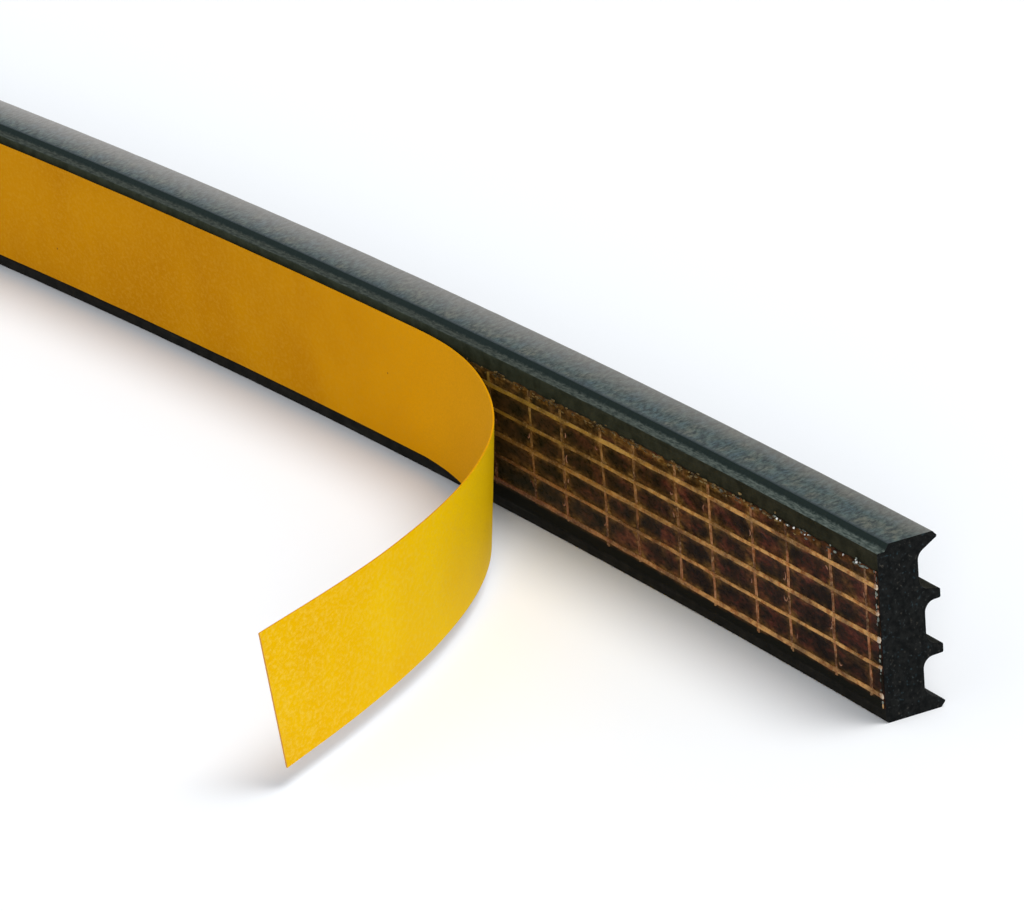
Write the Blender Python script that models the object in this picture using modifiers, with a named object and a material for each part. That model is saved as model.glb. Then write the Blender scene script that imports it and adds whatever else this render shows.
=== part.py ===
"""One metre of self-adhesive rubber seal strip, with its release liner peeled back at one end.

The strip stands on its long edge, with the adhesive face towards -Y. It keeps a gentle bend from the
roll it was cut from, so its length follows an arc about a vertical axis. Metres, +Z up.

Places on the strip are given as along (from the peeled end, on the front face), depth (behind the
front face, so the layers on it have negative depths) and height (above the floor).
"""

import math

import bmesh
import bpy
from mathutils import Vector

# The strip as a whole
STRIP_LENGTH = 1.0
COIL_SET_RADIUS = 1.3465
STRIP_HEIGHT = 0.015
STRIP_DEPTH = 0.0056

# The rubber's back: two outer lips along its edges, with inner lips and grooves between them
OUTER_GROOVE_DEPTH = 0.0019
INNER_GROOVE_DEPTH = 0.0015
GROOVE_RADIUS = 0.00095
OUTER_LIP_BEVEL = (0.00045, 0.0005)  # depth and height that slant its outer corner
OUTER_LIP_FOOT = 0.0016  # height of the lip where it meets the groove's floor
INNER_LIP_COUNT = 2
INNER_LIP_THICKNESS = 0.00078  # at its tip
INNER_LIP_FLARES = (0.00008, 0.0004)  # how much thicker its lower and upper sides are at the root
INNER_LIP_DROP = 0.00015  # from even spacing
LIP_TIP_RADIUS = 0.00014

# The rubber's front and top: a narrow ledge in front of the top face, and a rounded bottom edge
LEDGE_DROP = 0.0006
LEDGE_WIDTH = 0.0007
LEDGE_STEP_RUN = 0.0004
LEDGE_RADIUS = 0.00015
FRONT_EDGE_RADIUS = 0.00035

# The layers on the front face
SEAT_GAP = 0.00008
FILM_THICKNESS = 0.00012
FILM_LOWER_MARGIN = 0.0012  # bare rubber below the film
FILM_UPPER_MARGIN = 0.00195
YARN_THICKNESS = 0.00014
YARN_WIDTH = 0.00044
YARN_PITCH = 0.002355  # of the lengthwise yarns
YARN_EDGE_MARGIN = 0.0011  # from the film's lower edge to the lowest yarn, and the least at the top
CROSS_YARN_PITCH = 0.00583
CROSS_YARN_STAGGER = 0.0007  # how much nearer to the last yarn every other one lies
FIRST_CROSS_YARN = 0.00165  # from the strip's peeled end
CROSS_YARN_MARGIN = 0.0003  # from a cross yarn's ends to the film's edges
SCRIM_TUCK = 0.004  # how far the modelled scrim runs in behind the liner
LINER_THICKNESS = 0.00016
LINER_LOWER_MARGIN = 0.0017  # from the strip's lower side to the liner
LINER_UPPER_MARGIN = 0.0012

# The free length of the liner
PEEL_LINE = 0.0716  # from the strip's peeled end
LINER_OVERHANG = 0.001  # how much longer the liner is than the face it was peeled from
LINER_TURN = math.radians(65.9)  # between the strip and the liner's free end
LINER_EASE_IN = 0.0015  # length over which the bend begins
LINER_EASE_OUT = 0.045  # length over which it straightens
LINER_LEAN = 0.0013  # how far the lower edge leans into the bend
LINER_END_SLANT = 0.0018  # how much shorter the lower edge is

# Steps of the curves
STRIP_STEP = 0.02
LINER_STEP = 0.0025
CORNER_STEP = math.radians(38)

# Where the layers lie, from the front face forwards, and their heights
FILM_DEPTH = -(SEAT_GAP + FILM_THICKNESS / 2)
SCRIM_DEPTH = FILM_DEPTH - FILM_THICKNESS / 2 - SEAT_GAP - YARN_THICKNESS / 2
LINER_DEPTH = SCRIM_DEPTH - YARN_THICKNESS / 2 - SEAT_GAP - LINER_THICKNESS / 2
FILM_BOTTOM = FILM_LOWER_MARGIN
FILM_TOP = STRIP_HEIGHT - FILM_UPPER_MARGIN
LINER_BOTTOM = LINER_LOWER_MARGIN
LINER_TOP = STRIP_HEIGHT - LINER_UPPER_MARGIN
LINER_FREE_LENGTH = PEEL_LINE + LINER_OVERHANG


def clear_scene():
    for old in list(bpy.data.objects):
        bpy.data.objects.remove(old, do_unlink=True)


def make_material(name, colour, roughness):
    material = bpy.data.materials.new(name)
    material.use_nodes = True
    shader = material.node_tree.nodes["Principled BSDF"]
    shader.inputs["Base Color"].default_value = (*colour, 1.0)
    shader.inputs["Roughness"].default_value = roughness
    shader.inputs["Metallic"].default_value = 0.0
    return material


def add_piece(name, mesh_maker, material, collection):
    """A named object made from a bmesh."""
    mesh = bpy.data.meshes.new(name)
    mesh_maker.to_mesh(mesh)
    mesh_maker.free()
    mesh.materials.append(material)
    piece = bpy.data.objects.new(name, mesh)
    collection.objects.link(piece)
    return piece


def strip_turn(along):
    """The angle of the strip's cross-section about the vertical axis, 0 at mid-length."""
    return (STRIP_LENGTH / 2 - along) / COIL_SET_RADIUS


def strip_point(along, depth, height):
    radius = COIL_SET_RADIUS + depth
    turn = strip_turn(along)
    return Vector((radius * math.sin(turn), radius * math.cos(turn) - COIL_SET_RADIUS, height))


def even_steps(start, end, longest):
    """Values from start to end, no further apart than longest."""
    count = math.ceil((end - start) / longest - 1e-9)
    return [start + (end - start) * index / count for index in range(count + 1)]


def rounded_outline(corners):
    """Points (depth, height) of a closed outline whose corners (depth, height, radius) are arcs."""
    points = []
    for index, (depth, height, radius) in enumerate(corners):
        corner = Vector((depth, height))
        back = (Vector(corners[index - 1][:2]) - corner).normalized()
        ahead = (Vector(corners[(index + 1) % len(corners)][:2]) - corner).normalized()
        half = back.angle(ahead) / 2
        centre = corner + (back + ahead).normalized() * (radius / math.sin(half))
        first = corner + back * (radius / math.tan(half)) - centre
        last = corner + ahead * (radius / math.tan(half)) - centre
        start = math.atan2(first.y, first.x)
        sweep = math.remainder(math.atan2(last.y, last.x) - start, 2 * math.pi)
        steps = max(1, math.ceil(abs(sweep) / CORNER_STEP))
        for step in range(steps + 1):
            angle = start + sweep * step / steps
            points.append(centre + Vector((math.cos(angle), math.sin(angle))) * radius)
    return points


def inner_lip_heights():
    """The heights of the inner lips' middles, spaced between the outer lips' tips."""
    bottom = OUTER_LIP_BEVEL[1]
    pitch = (STRIP_HEIGHT - 2 * bottom) / (INNER_LIP_COUNT + 1)
    return [bottom + pitch * (index + 1) - INNER_LIP_DROP for index in range(INNER_LIP_COUNT)]


def section_corners():
    """The rubber's section, counter-clockwise from its bottom front edge."""
    bevel_depth, bevel_height = OUTER_LIP_BEVEL
    half_tip = INNER_LIP_THICKNESS / 2
    lower_flare, upper_flare = INNER_LIP_FLARES
    inner_floors = [STRIP_DEPTH - INNER_GROOVE_DEPTH] * (INNER_LIP_COUNT - 1)
    outer_floor = STRIP_DEPTH - OUTER_GROOVE_DEPTH
    floors = [outer_floor, *inner_floors, outer_floor]
    corners = [
        (0.0, 0.0, FRONT_EDGE_RADIUS),
        (STRIP_DEPTH - bevel_depth, 0.0, LIP_TIP_RADIUS),
        (STRIP_DEPTH, bevel_height, LIP_TIP_RADIUS),
        (outer_floor, OUTER_LIP_FOOT, GROOVE_RADIUS),
    ]
    for middle, floor_below, floor_above in zip(inner_lip_heights(), floors, floors[1:]):
        corners += [
            (floor_below, middle - half_tip - lower_flare, GROOVE_RADIUS),
            (STRIP_DEPTH, middle - half_tip, LIP_TIP_RADIUS),
            (STRIP_DEPTH, middle + half_tip, LIP_TIP_RADIUS),
            (floor_above, middle + half_tip + upper_flare, GROOVE_RADIUS),
        ]
    ledge = STRIP_HEIGHT - LEDGE_DROP
    corners += [
        (outer_floor, STRIP_HEIGHT - OUTER_LIP_FOOT, GROOVE_RADIUS),
        (STRIP_DEPTH, STRIP_HEIGHT - bevel_height, LIP_TIP_RADIUS),
        (STRIP_DEPTH - bevel_depth, STRIP_HEIGHT, LIP_TIP_RADIUS),
        (LEDGE_WIDTH + LEDGE_STEP_RUN, STRIP_HEIGHT, LEDGE_RADIUS),
        (LEDGE_WIDTH, ledge, LEDGE_RADIUS),
        (0.0, ledge, LEDGE_RADIUS),
    ]
    return corners


def make_rubber(material, collection):
    """The section's face, spun along the arc from the peeled end to the far end."""
    maker = bmesh.new()
    outline = [
        maker.verts.new(strip_point(0.0, point.x, point.y)) for point in rounded_outline(section_corners())
    ]
    face = maker.faces.new(outline)
    bmesh.ops.spin(
        maker,
        geom=[face, *face.edges, *face.verts],
        cent=(0.0, -COIL_SET_RADIUS, 0.0),
        axis=(0.0, 0.0, 1.0),
        angle=STRIP_LENGTH / COIL_SET_RADIUS,
        steps=math.ceil(STRIP_LENGTH / STRIP_STEP - 1e-9),
    )
    bmesh.ops.recalc_face_normals(maker, faces=maker.faces)
    return add_piece("rubber_profile", maker, material, collection)


def make_ribbon(name, edges, thickness, material, collection):
    """A thin ribbon on edge, through pairs of points on its lower and upper edges."""
    maker = bmesh.new()
    rows = [(maker.verts.new(low), maker.verts.new(high)) for low, high in edges]
    for (low, high), (next_low, next_high) in zip(rows, rows[1:]):
        maker.faces.new((low, high, next_high, next_low))
    piece = add_piece(name, maker, material, collection)
    solidify = piece.modifiers.new("thickness", "SOLIDIFY")
    solidify.thickness = thickness
    solidify.offset = 0.0
    return piece


def make_film(material, collection):
    edges = [
        (strip_point(along, FILM_DEPTH, FILM_BOTTOM), strip_point(along, FILM_DEPTH, FILM_TOP))
        for along in even_steps(0.0, STRIP_LENGTH, STRIP_STEP)
    ]
    return make_ribbon("adhesive_film", edges, FILM_THICKNESS, material, collection)


def yarn_edges(start, middles, end):
    """The lines that cut a span into gaps and yarns: start, both sides of each yarn, end."""
    sides = [middle + side * YARN_WIDTH / 2 for middle in middles for side in (-1, 1)]
    return [start, *sides, end]


def spaced(first, last, pitch):
    """Values from first, a pitch apart, as many as fit up to last."""
    return [first + pitch * index for index in range(math.floor((last - first) / pitch) + 1)]


def make_scrim(material, collection):
    """The exposed yarns, as one grid whose gaps are open."""
    reach = PEEL_LINE + SCRIM_TUCK
    even_yarns = spaced(FIRST_CROSS_YARN, reach - YARN_WIDTH, CROSS_YARN_PITCH)
    cross_yarns = [along - CROSS_YARN_STAGGER * (index % 2) for index, along in enumerate(even_yarns)]
    long_yarns = spaced(FILM_BOTTOM + YARN_EDGE_MARGIN, FILM_TOP - YARN_EDGE_MARGIN, YARN_PITCH)
    alongs = yarn_edges(0.0, cross_yarns, reach)
    heights = yarn_edges(FILM_BOTTOM + CROSS_YARN_MARGIN, long_yarns, FILM_TOP - CROSS_YARN_MARGIN)

    maker = bmesh.new()
    for column in range(len(alongs) - 1):
        for row in range(len(heights) - 1):
            in_yarn = column % 2 == 1 or row % 2 == 1
            if in_yarn:
                sides = [(0, 0), (0, 1), (1, 1), (1, 0)]
                corners = [
                    strip_point(alongs[column + right], SCRIM_DEPTH, heights[row + up])
                    for right, up in sides
                ]
                maker.faces.new([maker.verts.new(corner) for corner in corners])
    bmesh.ops.remove_doubles(maker, verts=maker.verts, dist=SEAT_GAP / 2)
    piece = add_piece("reinforcing_scrim", maker, material, collection)
    solidify = piece.modifiers.new("thickness", "SOLIDIFY")
    solidify.thickness = YARN_THICKNESS
    solidify.offset = 0.0
    return piece


def liner_turn(distance):
    """How far the free liner has turned from the strip's direction, at a distance from the peel line.

    Its curvature rises over the ease-in, stays, and falls to nothing over the ease-out.
    """
    curvature = LINER_TURN / (LINER_FREE_LENGTH - (LINER_EASE_IN + LINER_EASE_OUT) / 2)
    left = LINER_FREE_LENGTH - distance
    if distance < LINER_EASE_IN:
        return curvature * distance**2 / (2 * LINER_EASE_IN)
    if left < LINER_EASE_OUT:
        return LINER_TURN - curvature * left**2 / (2 * LINER_EASE_OUT)
    return curvature * (distance - LINER_EASE_IN / 2)


def free_liner_edges():
    """Pairs of points on the free liner's edges, from the peel line to its cut end."""
    direction = -strip_turn(PEEL_LINE)
    distances = even_steps(0.0, LINER_FREE_LENGTH, LINER_STEP)
    step = distances[1]
    point = strip_point(PEEL_LINE, LINER_DEPTH, 0.0)
    edges = []
    for distance in distances:
        heading = direction - liner_turn(distance)
        ahead = Vector((math.cos(heading), math.sin(heading), 0.0))
        inwards = Vector((math.sin(heading), -math.cos(heading), 0.0))
        share = distance / LINER_FREE_LENGTH
        lean = inwards * LINER_LEAN * math.sin(math.pi * share)
        low = point + lean - ahead * LINER_END_SLANT * share
        edges.append((low + Vector((0, 0, LINER_BOTTOM)), point + Vector((0, 0, LINER_TOP))))
        middle = direction - liner_turn(min(distance + step / 2, LINER_FREE_LENGTH))
        point = point + Vector((math.cos(middle), math.sin(middle), 0.0)) * step
    return edges


def make_liner(material, collection):
    attached = [
        (strip_point(along, LINER_DEPTH, LINER_BOTTOM), strip_point(along, LINER_DEPTH, LINER_TOP))
        for along in even_steps(PEEL_LINE, STRIP_LENGTH, STRIP_STEP)
    ]
    edges = attached[:0:-1] + free_liner_edges()
    return make_ribbon("release_liner", edges, LINER_THICKNESS, material, collection)


def stand_on_origin(pieces, holder):
    """Moves the holder so that the pieces' common box has its bottom centre at the origin."""
    bpy.context.view_layer.update()
    graph = bpy.context.evaluated_depsgraph_get()
    corners = []
    for piece in pieces:
        evaluated = piece.evaluated_get(graph)
        corners += [evaluated.matrix_world @ Vector(corner) for corner in evaluated.bound_box]
    lowest = [min(corner[axis] for corner in corners) for axis in range(3)]
    highest = [max(corner[axis] for corner in corners) for axis in range(3)]
    holder.location = (-(lowest[0] + highest[0]) / 2, -(lowest[1] + highest[1]) / 2, -lowest[2])
    bpy.context.view_layer.update()


def main():
    clear_scene()
    collection = bpy.data.collections.new("seal_strip")
    bpy.context.scene.collection.children.link(collection)
    rubber = make_material("black_cellular_rubber", (0.022, 0.022, 0.02), 0.62)
    adhesive = make_material("amber_adhesive", (0.06, 0.03, 0.018), 0.25)
    yarn = make_material("tan_yarn", (0.22, 0.14, 0.08), 0.5)
    liner = make_material("yellow_liner", (0.62, 0.36, 0.02), 0.45)
    pieces = [
        make_rubber(rubber, collection),
        make_film(adhesive, collection),
        make_scrim(yarn, collection),
        make_liner(liner, collection),
    ]
    holder = bpy.data.objects.new("strip_origin", None)
    collection.objects.link(holder)
    for piece in pieces:
        piece.parent = holder
    stand_on_origin(pieces, holder)


main()
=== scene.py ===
"""The looks of a length of self-adhesive rubber seal strip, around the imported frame.

Places on the strip are along (from the peeled end, on the front face), depth (behind the front face,
so what lies on it has negative depths) and height, as in the construction. Metres, +Z up.
"""

import math
import random

import bpy
from mathutils import Euler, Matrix, Vector, geometry, noise


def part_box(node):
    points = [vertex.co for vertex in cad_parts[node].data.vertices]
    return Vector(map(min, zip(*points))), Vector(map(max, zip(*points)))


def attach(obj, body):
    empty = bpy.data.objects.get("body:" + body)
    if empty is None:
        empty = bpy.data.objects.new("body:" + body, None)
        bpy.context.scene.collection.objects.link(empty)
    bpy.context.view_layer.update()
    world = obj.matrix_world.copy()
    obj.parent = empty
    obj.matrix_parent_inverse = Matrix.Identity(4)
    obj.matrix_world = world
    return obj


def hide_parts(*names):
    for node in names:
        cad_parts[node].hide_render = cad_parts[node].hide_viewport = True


MM = 0.001

# The strip, as constructed
STRIP_LENGTH = 1000 * MM
COIL_SET_RADIUS = 1346.5 * MM
STRIP_HEIGHT = 15 * MM
STRIP_DEPTH = 5.6 * MM
OUTER_GROOVE_DEPTH = 1.9 * MM
INNER_GROOVE_DEPTH = 1.5 * MM
GROOVE_RADIUS = 0.95 * MM
OUTER_LIP_BEVEL = (0.45 * MM, 0.5 * MM)
OUTER_LIP_FOOT = 1.6 * MM
INNER_LIP_COUNT = 2
INNER_LIP_THICKNESS = 0.78 * MM
INNER_LIP_FLARES = (0.08 * MM, 0.4 * MM)
INNER_LIP_DROP = 0.15 * MM
LIP_TIP_RADIUS = 0.14 * MM
LEDGE_DROP = 0.6 * MM
LEDGE_HEIGHT = STRIP_HEIGHT - LEDGE_DROP
LEDGE_WIDTH = 0.7 * MM
LEDGE_STEP_RUN = 0.4 * MM
LEDGE_RADIUS = 0.15 * MM
FRONT_EDGE_RADIUS = 0.35 * MM
OUTLINE_STEP = math.radians(10)
SKIN_WAVE = 0.03 * MM

# The layers on the front face
FILM_BACK = -0.02 * MM
FILM_FACE = -0.16 * MM
FILM_BOTTOM = 1.2 * MM
FILM_TOP = 12.95 * MM
YARN_HEIGHTS = (2.42 * MM, 4.85 * MM, 7.2 * MM, 9.42 * MM, 11.68 * MM)
YARN_RISES = (0.45 * MM, 0.35 * MM, 0.12 * MM, 0.1 * MM, 0.0)  # towards the peel line
YARN_GIRTHS = (1.1, 0.8, 1.1, 0.82, 1.0)
CROSS_YARN_COUNT = 13
FIRST_CROSS_YARN = 1.65 * MM
CROSS_YARN_PITCH = 5.83 * MM
CROSS_YARN_STAGGER = 0.7 * MM
SCRIM_TUCK = 4 * MM  # how far the scrim runs on behind the liner
GLINTS = (3.1 * MM, 4.4 * MM, 9.9 * MM, 12.6 * MM, 14.2 * MM)  # places of white beads on the film's edge, painted glints
EDGE_BEAD_COUNT = 170
CUT_BEAD_COUNT = 34
LINER_THICKNESS = 0.14 * MM
LINER_DEPTH = -0.5 * MM
LINER_BOTTOM = 1.7 * MM
LINER_TOP = 13.8 * MM

# The free length of the liner
PEEL_LINE = 71.6 * MM
LINER_FREE_LENGTH = 72.6 * MM
LINER_TURN = math.radians(65.9)
LINER_EASE_IN = 1.5 * MM
LINER_EASE_OUT = 45 * MM
LINER_LEAN = 1.3 * MM
LINER_END_SLANT = 1.8 * MM

# How finely the pieces are divided: in the stretch that the camera sees from near, and beyond it
VIEWED_LENGTH = 170 * MM
SKIN_STEP = 1.2 * MM
FILM_STEP = 0.25 * MM
SEATED_LINER_STEP = 1.5 * MM
FREE_LINER_STEP = 0.33 * MM
FAR_STEP = 8 * MM
SECTION_STEP = 0.3 * MM
NEAR_CUT_SPACING = 0.1 * MM
FAR_CUT_SPACING = 0.2 * MM
FILM_ROWS = 56
LINER_ROWS = 25
BEAD_SIDES = 8
STRAND_SIDES = 6
CRESCENT_STEPS = 8

# The order of each piece's materials
SKIN, TOP, LEDGE = range(3)
AMBER, PALE, PAINTED_GLINT, CROSSING, GREY = range(5)
LENGTHWISE, CROSSWISE, FRAYED, CROSS_TIP = range(4)
OUTER_SIDE, RELEASE_SIDE, CUT_END = range(3)

# The camera, from the cut end's lower front corner: out along the strip, forward of its face, and up
CAMERA_OUT = 343.6 * MM
CAMERA_FORWARD = 210.04 * MM
CAMERA_UP = 179.32 * MM
CAMERA_PITCH = math.radians(21.007)
CAMERA_YAW = math.radians(62.486)
CAMERA_ROLL = math.radians(-4.70)
CAMERA_SENSOR = 36.0
CAMERA_LENS = 196.98

# Light: the sky's strength at its walls and overhead with the heights between which it changes, and
# two soft lights as name, strength, softness, azimuth from the strip's end direction and elevation
# (degrees)
SKY_LOW = 1.0
SKY_HIGH = 0.375
SKY_CHANGE = (0.1, 0.6)
SKY_COLOUR = (0.905, 0.985, 1.08, 1.0)
SOFT_LIGHTS = (("far_right", 1.85, 36, 58.5, 69.5), ("beside_camera", 1.6, 18, -31.5, 18))
LIGHT_COLOUR = (1.0, 0.975, 0.95)
FLOOR_COLOUR = (0.91, 0.925, 0.94)
FLOOR_REACH = 3.0

random.seed(7)
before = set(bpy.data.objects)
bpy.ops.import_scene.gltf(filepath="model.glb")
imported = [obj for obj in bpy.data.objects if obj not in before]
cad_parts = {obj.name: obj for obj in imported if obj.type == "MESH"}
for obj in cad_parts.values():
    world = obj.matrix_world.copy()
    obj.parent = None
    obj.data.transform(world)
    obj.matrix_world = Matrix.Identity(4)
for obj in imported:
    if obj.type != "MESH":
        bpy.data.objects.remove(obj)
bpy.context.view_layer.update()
FRONT_FACE_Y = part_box("rubber_profile")[1][1] - STRIP_DEPTH  # at mid-length


# Places and shapes


def strip_turn(along):
    """The angle of the strip's cross-section about the vertical axis, 0 at mid-length."""
    return (STRIP_LENGTH / 2 - along) / COIL_SET_RADIUS


def strip_point(along, depth, height):
    radius = COIL_SET_RADIUS + depth
    turn = strip_turn(along)
    centre_y = FRONT_FACE_Y - COIL_SET_RADIUS
    return Vector((radius * math.sin(turn), centre_y + radius * math.cos(turn), height))


def even_steps(start, end, longest):
    """Values from start to end, no further apart than longest."""
    count = math.ceil((end - start) / longest - 1e-9)
    return [start + (end - start) * index / count for index in range(count + 1)]


def strip_steps(start, fine_end, longest):
    """Places along the strip from start to its far end, fine up to fine_end and coarse beyond it."""
    return even_steps(start, fine_end, longest) + even_steps(fine_end, STRIP_LENGTH, FAR_STEP)[1:]


def wobble(place, scale, seed):
    """Smooth noise from -1 to 1 whose features are about as large as scale."""
    return noise.noise(Vector(place) / scale + Vector((seed * 17.3, seed * 5.1, seed * 9.7)))


class Shape:
    """Points and faces under construction: a material's number for each face, a map place for each point."""

    def __init__(self):
        self.points = []
        self.faces = []
        self.face_materials = []
        self.maps = []

    def add_face(self, corners, material=0):
        self.faces.append(tuple(corners))
        self.face_materials.append(material)

    def add_grid(self, columns, rows):
        """Faces over the last columns x rows points, which were added column by column."""
        start = len(self.points) - columns * rows
        for column in range(columns - 1):
            for row in range(rows - 1):
                first = start + column * rows + row
                self.add_face((first, first + 1, first + rows + 1, first + rows))

    def add_tube(self, rings, material):
        """A closed tube through rings of points that run alike."""
        start = len(self.points)
        sides = len(rings[0])
        for ring in rings:
            self.points += ring
        for number in range(len(rings) - 1):
            for side in range(sides):
                ahead = (side + 1) % sides
                first = start + number * sides
                second = first + sides
                self.add_face((first + side, second + side, second + ahead, first + ahead), material)
        last = start + (len(rings) - 1) * sides
        self.add_face(range(start, start + sides), material)
        self.add_face(range(last + sides - 1, last - 1, -1), material)

    def add_bead(self, along, depth, height, size, material):
        """A small rounded lump; size is its half length along the strip, out of it and up."""
        rings = []
        for polar in (0.03, 0.25, 0.5, 0.75, 0.97):
            reach = size[0] * math.cos(math.pi * polar)
            girth = math.sin(math.pi * polar)
            ring = []
            for side in range(BEAD_SIDES):
                angle = -2 * math.pi * side / BEAD_SIDES
                out = size[1] * girth * math.cos(angle)
                up = size[2] * girth * math.sin(angle)
                ring.append(strip_point(along - reach, depth - out, height + up))
            rings.append(ring)
        self.add_tube(rings, material)

    def add_piece(self, name, materials, sharp_angle=None):
        mesh = bpy.data.meshes.new(name)
        mesh.from_pydata([tuple(point) for point in self.points], [], self.faces)
        for material in materials:
            mesh.materials.append(material)
        mesh.polygons.foreach_set("material_index", self.face_materials)
        if self.maps:
            layer = mesh.uv_layers.new(name="strip_map")
            for loop in mesh.loops:
                layer.data[loop.index].uv = self.maps[loop.vertex_index]
        mesh.shade_smooth()
        if sharp_angle:
            mesh.set_sharp_from_angle(angle=sharp_angle)
        mesh.update()
        piece = bpy.data.objects.new(name, mesh)
        bpy.context.scene.collection.objects.link(piece)
        return piece


# Materials


class Surface:
    """A material under construction, with short calls for its shader nodes."""

    def __init__(self, name, **values):
        self.material = bpy.data.materials.new(name)
        self.material.use_nodes = True
        self.tree = self.material.node_tree
        self.shader = self.tree.nodes["Principled BSDF"]
        for key, value in values.items():
            self.shader.inputs[key.replace("_", " ")].default_value = value

    def add(self, kind, **settings):
        node = self.tree.nodes.new(kind)
        for key, value in settings.items():
            setattr(node, key, value)
        return node

    def feed(self, socket, value):
        """A link from another node's output, or a number or colour set on the socket."""
        if isinstance(value, bpy.types.NodeSocket):
            self.tree.links.new(value, socket)
        elif isinstance(value, tuple):
            socket.default_value = (*value, 1.0)
        else:
            socket.default_value = value

    def place(self, scale=(1, 1, 1), turn=(0, 0, 0), source="Object"):
        """Coordinates in millimetres, stretched by one over scale."""
        mapping = self.add("ShaderNodeMapping")
        mapping.inputs["Rotation"].default_value = [math.radians(angle) for angle in turn]
        mapping.inputs["Scale"].default_value = [part / MM for part in scale]
        self.feed(mapping.inputs["Vector"], self.add("ShaderNodeTexCoord").outputs[source])
        return mapping.outputs["Vector"]

    def axis(self, index, source="Object"):
        """One coordinate in millimetres, 0 to 2 for X to Z."""
        split = self.add("ShaderNodeSeparateXYZ")
        self.feed(split.inputs[0], self.place(source=source))
        return split.outputs[index]

    def toward_liner(self, start, end):
        """0 at the first distance from the cut end, in millimetres, and 1 at the second."""
        places = [strip_point(along * MM, 0.0, 0.0).x / MM for along in (start, end)]
        return self.spread(self.axis(0), *places)

    def plus(self, first, second):
        node = self.add("ShaderNodeMath", operation="ADD")
        self.feed(node.inputs[0], first)
        self.feed(node.inputs[1], second)
        return node.outputs[0]

    def noise(self, place, scale, detail=3.0, roughness=0.55, distortion=0.0):
        texture = self.add("ShaderNodeTexNoise")
        values = {"Vector": place, "Scale": scale, "Detail": detail, "Roughness": roughness}
        values["Distortion"] = distortion
        for key, value in values.items():
            self.feed(texture.inputs[key], value)
        return texture.outputs["Fac"]

    def cells(self, place, scale):
        texture = self.add("ShaderNodeTexVoronoi")
        self.feed(texture.inputs["Vector"], place)
        self.feed(texture.inputs["Scale"], scale)
        return texture.outputs["Distance"]

    def spread(self, value, low, high, to_low=0.0, to_high=1.0):
        """The value's range from low to high, stretched to the second range."""
        node = self.add("ShaderNodeMapRange")
        names = ("Value", "From Min", "From Max", "To Min", "To Max")
        for name, number in zip(names, (value, low, high, to_low, to_high)):
            self.feed(node.inputs[name], number)
        return node.outputs["Result"]

    def ramp(self, value, *stops):
        """Colours between stops of (position, colour)."""
        node = self.add("ShaderNodeValToRGB")
        self.feed(node.inputs["Fac"], value)
        elements = node.color_ramp.elements
        while len(elements) < len(stops):
            elements.new(0.5)
        for element, (position, colour) in zip(elements, stops):
            element.position = position
            element.color = (*colour, 1.0)
        return node.outputs["Color"]

    def mix(self, share, first, second):
        node = self.add("ShaderNodeMix", data_type="RGBA")
        self.feed(node.inputs["Factor"], share)
        self.feed(node.inputs[6], first)
        self.feed(node.inputs[7], second)
        return node.outputs[2]

    def bump(self, height, distance, strength=1.0, under=None):
        node = self.add("ShaderNodeBump")
        self.feed(node.inputs["Height"], height)
        self.feed(node.inputs["Distance"], distance)
        self.feed(node.inputs["Strength"], strength)
        if under is not None:
            self.feed(node.inputs["Normal"], under)
        return node.outputs["Normal"]

    def finish(self, colour, roughness, normal):
        self.feed(self.shader.inputs["Base Color"], colour)
        self.feed(self.shader.inputs["Roughness"], roughness)
        self.feed(self.shader.inputs["Normal"], normal)
        return self.material


def front_rubber():
    """Extruded cellular rubber, matt and black; painted shade darkens it towards the bottom, and painted
    light makes it paler away from the cut, where the liner shades it.
    """
    surface = Surface("rubber_skin", IOR=1.07)
    place = surface.place()
    streaks = surface.noise(surface.place((0.05, 1, 1), source="UV"), 3.0, 3.0)
    mottle = surface.noise(place, 0.9, 4.0)
    grain = surface.noise(place, 5.0, 3.0, 0.65)
    # low: the colour near the bottom, darker as painted shade by the floor
    low = surface.ramp(mottle, (0.35, (0.008, 0.008, 0.007)), (0.65, (0.014, 0.013, 0.011)))
    near = surface.ramp(mottle, (0.35, (0.012, 0.012, 0.007)), (0.65, (0.023, 0.022, 0.013)))
    # far: paler and greener towards the liner, painted light where the liner shades the face
    far = surface.ramp(mottle, (0.35, (0.020, 0.024, 0.015)), (0.65, (0.033, 0.039, 0.026)))
    high = surface.mix(surface.toward_liner(20, 65), near, far)
    colour = surface.mix(surface.spread(surface.axis(2), 3, 13), low, high)
    colour = surface.mix(surface.spread(streaks, 0.55, 0.8, 0.0, 0.4), colour, (0.035, 0.035, 0.028))
    normal = surface.bump(streaks, 0.02 * MM, 0.5)
    normal = surface.bump(grain, 0.035 * MM, 0.8, normal)
    return surface.finish(colour, surface.spread(grain, 0.3, 0.7, 0.6, 0.8), normal)


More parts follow.
